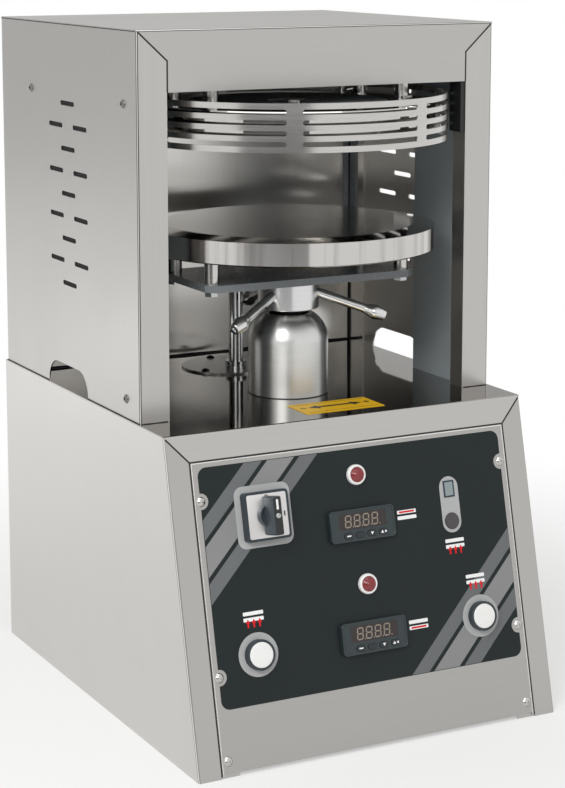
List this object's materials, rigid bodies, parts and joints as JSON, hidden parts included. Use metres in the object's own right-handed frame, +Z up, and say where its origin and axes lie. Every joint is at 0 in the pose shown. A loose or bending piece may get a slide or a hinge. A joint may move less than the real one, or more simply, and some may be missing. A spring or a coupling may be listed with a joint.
{
  "type": "pizza dough press",
  "caption": "Electric dough press with a stainless cabinet, sloping control front, fixed heated upper plate in a slotted guard and a heated lower plate raised by a ram.",
  "frame": {"origin": "middle of the base's footprint, on the floor", "axes": "+X to the right as seen from the control front, -Y out of the control front, +Z up along the press axis"},
  "size_m": [0.411, 0.504, 0.71],
  "materials": {
    "stainless_sheet": "satin ground stainless sheet",
    "polished_sheet": "stainless sheet, bright on its upper side",
    "bright_steel": "bright stainless steel",
    "zinc_steel": "zinc-plated steel",
    "chromed_steel": "hard-chromed steel",
    "chromed_plate": "chromed steel plate, turned rim",
    "frame_paint": "dark blue-grey paint on steel",
    "motor_paint": "grey paint on cast iron and steel",
    "turned_aluminium": "turned, satin",
    "cast_aluminium": "as cast",
    "bronze_nut": "turned bronze",
    "heater_mica": "mica heating element",
    "overlay_film": "printed polyester film, dark grey field",
    "device_plastic": "dark blue-grey moulded plastic",
    "black_plastic": "black moulded plastic",
    "grey_plastic": "grey moulded plastic",
    "display_plastic": "liquid-crystal display behind a clear window",
    "white_plastic": "white moulded plastic",
    "red_lens": "red moulded lens",
    "smoked_window": "smoked window over the digits",
    "yellow_film": "yellow printed film"
  },
  "bodies": {
    "frame": {"base_left_side": "stainless_sheet", "base_right_side": "stainless_sheet", "base_deck": "polished_sheet", "base_back": "stainless_sheet", "base_bottom": "stainless_sheet", "control_panel": "stainless_sheet", "control_overlay": "overlay_film", "housing_left_side": "stainless_sheet", "housing_right_side": "stainless_sheet", "housing_top": "stainless_sheet", "housing_back": "stainless_sheet", "chamber_back": "stainless_sheet", "casing_screws": "bright_steel", "bed_plate": "frame_paint", "columns": "frame_paint", "head_plate": "frame_paint", "frame_bolts": "zinc_steel", "guard_switch": "black_plastic", "hanger_pillars": "bright_steel", "upper_plate": "chromed_plate", "upper_heater": "heater_mica", "guard_pins": "bright_steel", "bell_housing": "turned_aluminium", "guide_flange": "bright_steel", "guide_bush": "bright_steel", "gearbox": "cast_aluminium", "drive_motor": "motor_paint", "cam_switch": "device_plastic", "pilot_bezels": "white_plastic", "pilot_lenses": "red_lens", "controllers": "device_plastic", "controller_windows": "smoked_window", "timer_display": "display_plastic", "button_bodies": "device_plastic", "contactor": "grey_plastic", "cable_bush": "black_plastic", "adjustment_plate": "yellow_film"},
    "drive_nut": {"drive_nut": "bronze_nut"},
    "ram": {"ram": "chromed_steel"},
    "carriage": {"support_plate": "frame_paint", "plate_pillars": "bright_steel", "support_bolts": "zinc_steel", "lower_plate": "chromed_plate", "lower_heater": "heater_mica", "guide_rod": "chromed_steel"},
    "adjuster": {"adjusting_ring": "bright_steel", "adjusting_levers": "chromed_steel"},
    "guard": {"plate_guard": "bright_steel"},
    "knob": {"switch_knob": "black_plastic"},
    "left_cap": {"left_button": "white_plastic"},
    "right_cap": {"right_button": "white_plastic"},
    "timer_cap": {"timer_button": "device_plastic"},
    "upper_key_1": {"upper_key_1": "device_plastic"},
    "upper_key_2": {"upper_key_2": "device_plastic"},
    "upper_key_3": {"upper_key_3": "device_plastic"},
    "upper_key_4": {"upper_key_4": "device_plastic"},
    "lower_key_1": {"lower_key_1": "device_plastic"},
    "lower_key_2": {"lower_key_2": "device_plastic"},
    "lower_key_3": {"lower_key_3": "device_plastic"},
    "lower_key_4": {"lower_key_4": "device_plastic"}
  },
  "joints": [
    {"name": "plate_lift", "type": "slide", "parent": "frame", "child": "ram", "axis": [0, 0, 1], "range_m": [0, 0.094]},
    {"name": "drive_nut_turn", "type": "hinge", "parent": "frame", "child": "drive_nut", "pos_m": [0, -0.046, 0.23], "axis": [0, 0, 1], "range_deg": [-1420, 10]},
    {"name": "thickness_slide", "type": "slide", "parent": "ram", "child": "carriage", "axis": [0, 0, 1], "range_m": [-0.004, 0.004]},
    {"name": "adjusting_ring_turn", "type": "hinge", "parent": "carriage", "child": "adjuster", "pos_m": [0, -0.046, 0.428], "axis": [0, 0, 1], "range_deg": [-368, 368]},
    {"name": "guard_lift", "type": "slide", "parent": "frame", "child": "guard", "axis": [0, 0, 1], "range_m": [0, 0.006]},
    {"name": "switch_turn", "type": "hinge", "parent": "frame", "child": "knob", "pos_m": [-0.1065, -0.20512, 0.24027], "axis": [0, -0.9734, 0.229], "range_deg": [-90, 0]},
    {"name": "left_button_press", "type": "slide", "parent": "frame", "child": "left_cap", "axis": [0, 0.9734, -0.229], "range_m": [0, 0.003], "stiffness_N_per_m": 500, "springref_m": -0.003},
    {"name": "right_button_press", "type": "slide", "parent": "frame", "child": "right_cap", "axis": [0, 0.9734, -0.229], "range_m": [0, 0.003], "stiffness_N_per_m": 500, "springref_m": -0.003},
    {"name": "timer_button_press", "type": "slide", "parent": "frame", "child": "timer_cap", "axis": [0, 0.9734, -0.229], "range_m": [0, 0.0012], "stiffness_N_per_m": 500, "springref_m": -0.002},
    {"name": "upper_key_1_press", "type": "slide", "parent": "frame", "child": "upper_key_1", "axis": [0, 0.9734, -0.229], "range_m": [0, 0.0005], "stiffness_N_per_m": 500, "springref_m": -0.001},
    {"name": "upper_key_2_press", "type": "slide", "parent": "frame", "child": "upper_key_2", "axis": [0, 0.9734, -0.229], "range_m": [0, 0.0005], "stiffness_N_per_m": 500, "springref_m": -0.001},
    {"name": "upper_key_3_press", "type": "slide", "parent": "frame", "child": "upper_key_3", "axis": [0, 0.9734, -0.229], "range_m": [0, 0.0005], "stiffness_N_per_m": 500, "springref_m": -0.001},
    {"name": "upper_key_4_press", "type": "slide", "parent": "frame", "child": "upper_key_4", "axis": [0, 0.9734, -0.229], "range_m": [0, 0.0005], "stiffness_N_per_m": 500, "springref_m": -0.001},
    {"name": "lower_key_1_press", "type": "slide", "parent": "frame", "child": "lower_key_1", "axis": [0, 0.9734, -0.229], "range_m": [0, 0.0005], "stiffness_N_per_m": 500, "springref_m": -0.001},
    {"name": "lower_key_2_press", "type": "slide", "parent": "frame", "child": "lower_key_2", "axis": [0, 0.9734, -0.229], "range_m": [0, 0.0005], "stiffness_N_per_m": 500, "springref_m": -0.001},
    {"name": "lower_key_3_press", "type": "slide", "parent": "frame", "child": "lower_key_3", "axis": [0, 0.9734, -0.229], "range_m": [0, 0.0005], "stiffness_N_per_m": 500, "springref_m": -0.001},
    {"name": "lower_key_4_press", "type": "slide", "parent": "frame", "child": "lower_key_4", "axis": [0, 0.9734, -0.229], "range_m": [0, 0.0005], "stiffness_N_per_m": 500, "springref_m": -0.001}
  ],
  "couplings": [
    {"joint": "drive_nut_turn", "follows": "plate_lift", "rad_per_m": -261.8},
    {"joint": "adjusting_ring_turn", "follows": "thickness_slide", "rad_per_m": 1570.8}
  ]
}
